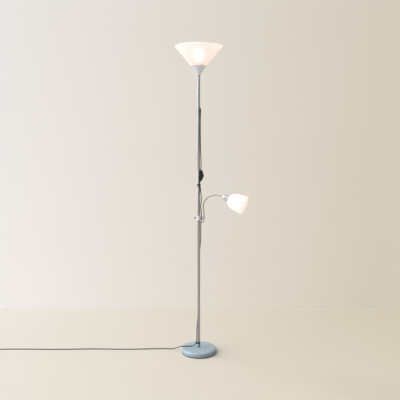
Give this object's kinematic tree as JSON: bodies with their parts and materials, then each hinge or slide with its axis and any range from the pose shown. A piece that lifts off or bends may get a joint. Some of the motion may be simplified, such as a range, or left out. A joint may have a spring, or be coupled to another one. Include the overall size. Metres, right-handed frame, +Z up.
{
  "type": "floor lamp",
  "caption": "Uplighter floor lamp: round weighted base, slim pole, conical opal shade, and a reading lamp with bell shade on a ribbed gooseneck.",
  "frame": {"origin": "on the floor, on the axis of the pole, at the middle of the base's underside", "axes": "+Z up along the pole, +X from the pole to the side boss that carries the gooseneck, -Y to the side from which the switch is seen"},
  "size_m": [1.5788, 0.282, 1.7815],
  "materials": {
    "silver_paint": "satin silver-grey lacquer on steel",
    "silver_plastic": "moulded, silver-grey",
    "black_foot": "moulded, matt",
    "iron": "as cast, dark primer",
    "zinc": "zinc plated",
    "chrome": "bright nickel-chrome",
    "brass": "bright",
    "white_plastic": "heat-resistant moulding",
    "black_plastic": "fine moulded grain",
    "black_cord": "smooth PVC sheath",
    "opal_shade": "frosted opal, translucent",
    "lamp_cap": "rolled thread",
    "lamp_glass": "soft white"
  },
  "bodies": {
    "stand": {"foot_plate": "black_foot", "base_weight": "iron", "base_cover": "silver_paint", "weight_washer": "zinc", "weight_nut": "zinc", "pole_stud": "zinc", "pole_bottom_bush": "zinc", "pole_lower": "silver_paint", "coupling_lower": "zinc", "pole_middle": "silver_paint", "coupling_upper": "zinc", "pole_upper": "silver_paint", "pole_top_bush": "zinc", "uplight_nipple": "zinc", "uplight_cup": "silver_paint", "cup_nut": "zinc", "uplight_holder": "white_plastic", "uplight_shell": "brass", "uplight_ring": "white_plastic", "uplight_shade": "opal_shade", "uplight_lamp_cap": "lamp_cap", "uplight_lamp_glass": "lamp_glass", "cord_outlet": "black_plastic", "switch_case_back": "black_plastic", "switch_case_front": "black_plastic", "rocker_pin": "zinc", "pole_clip": "black_plastic", "cord_bead": "black_plastic", "collar": "silver_plastic", "tail_bush": "black_plastic", "tail_grommet": "black_plastic", "tail_lead": "black_cord", "foot_clip": "black_plastic", "switch_lead": "black_cord", "mains_lead": "black_cord", "lead_coil": "black_cord", "plug_relief": "black_cord", "plug_body": "black_plastic", "plug_pins": "zinc"},
    "rocker": {"switch_rocker": "black_plastic"},
    "knob": {"lock_knob": "black_plastic"},
    "swivel": {"neck_swivel": "chrome", "swivel_nut": "zinc"},
    "neck_01": {"neck_link_01": "chrome"},
    "neck_02": {"neck_link_02": "chrome"},
    "neck_03": {"neck_link_03": "chrome"},
    "neck_04": {"neck_link_04": "chrome"},
    "neck_05": {"neck_link_05": "chrome"},
    "neck_06": {"neck_link_06": "chrome"},
    "neck_07": {"neck_link_07": "chrome"},
    "neck_08": {"neck_link_08": "chrome"},
    "neck_09": {"neck_link_09": "chrome"},
    "neck_10": {"neck_link_10": "chrome"},
    "reading_head": {"head_ferrule": "chrome", "head_can": "silver_paint", "small_holder": "white_plastic", "reading_shade": "opal_shade", "small_ring": "white_plastic", "small_lamp_cap": "lamp_cap", "small_lamp_glass": "lamp_glass"}
  },
  "joints": [
    {"name": "switch_rock", "type": "hinge", "parent": "stand", "child": "rocker", "pos_m": [0.02325, -0.0165, 1.0555], "axis": [0, -1, 0], "range_deg": [0, 14]},
    {"name": "lock_turn", "type": "hinge", "parent": "stand", "child": "knob", "pos_m": [-0.017, 0, 0.8105], "axis": [1, 0, 0], "range_deg": [0, 180]},
    {"name": "neck_swivel", "type": "hinge", "parent": "stand", "child": "swivel", "pos_m": [0.031, 0, 0.823], "axis": [0, 0, 1], "range_deg": [-90, 150]},
    {"name": "bend_01", "type": "hinge", "parent": "swivel", "child": "neck_01", "pos_m": [0.031, 0, 0.823], "axis": [0.4067, 0.9135, 0], "range_deg": [-3, 5]},
    {"name": "bend_02", "type": "hinge", "parent": "neck_01", "child": "neck_02", "pos_m": [0.02953, 0.00065, 0.84343], "axis": [0.4067, 0.9135, 0], "range_deg": [-3, 5]},
    {"name": "bend_03", "type": "hinge", "parent": "neck_02", "child": "neck_03", "pos_m": [0.02709, 0.00174, 0.86376], "axis": [0.4067, 0.9135, 0], "range_deg": [-3, 5]},
    {"name": "bend_04", "type": "hinge", "parent": "neck_03", "child": "neck_04", "pos_m": [0.02676, 0.00189, 0.8842], "axis": [0.4067, 0.9135, 0], "range_deg": [-3, 5]},
    {"name": "bend_05", "type": "hinge", "parent": "neck_04", "child": "neck_05", "pos_m": [0.0319, -0.0004, 0.90381], "axis": [0.4067, 0.9135, 0], "range_deg": [-3, 5]},
    {"name": "bend_06", "type": "hinge", "parent": "neck_05", "child": "neck_06", "pos_m": [0.04272, -0.00522, 0.92042], "axis": [0.4067, 0.9135, 0], "range_deg": [-6, 6]},
    {"name": "bend_07", "type": "hinge", "parent": "neck_06", "child": "neck_07", "pos_m": [0.05754, -0.01182, 0.93286], "axis": [0.4067, 0.9135, 0], "range_deg": [-6, 6]},
    {"name": "bend_08", "type": "hinge", "parent": "neck_07", "child": "neck_08", "pos_m": [0.07462, -0.01942, 0.94119], "axis": [0.4067, 0.9135, 0], "range_deg": [-6, 6]},
    {"name": "bend_09", "type": "hinge", "parent": "neck_08", "child": "neck_09", "pos_m": [0.09287, -0.02755, 0.94562], "axis": [0.4067, 0.9135, 0], "range_deg": [-6, 6]},
    {"name": "bend_10", "type": "hinge", "parent": "neck_09", "child": "neck_10", "pos_m": [0.11156, -0.03587, 0.94597], "axis": [0.4067, 0.9135, 0], "range_deg": [-6, 6]},
    {"name": "bend_11", "type": "hinge", "parent": "neck_10", "child": "reading_head", "pos_m": [0.12983, -0.044, 0.94172], "axis": [0.4067, 0.9135, 0], "range_deg": [-6, 6]}
  ],
  "couplings": [
    {"joint": "bend_07", "follows": "bend_06", "ratio": 1},
    {"joint": "bend_08", "follows": "bend_06", "ratio": 1},
    {"joint": "bend_09", "follows": "bend_06", "ratio": 1},
    {"joint": "bend_10", "follows": "bend_06", "ratio": 1},
    {"joint": "bend_11", "follows": "bend_06", "ratio": 1}
  ]
}
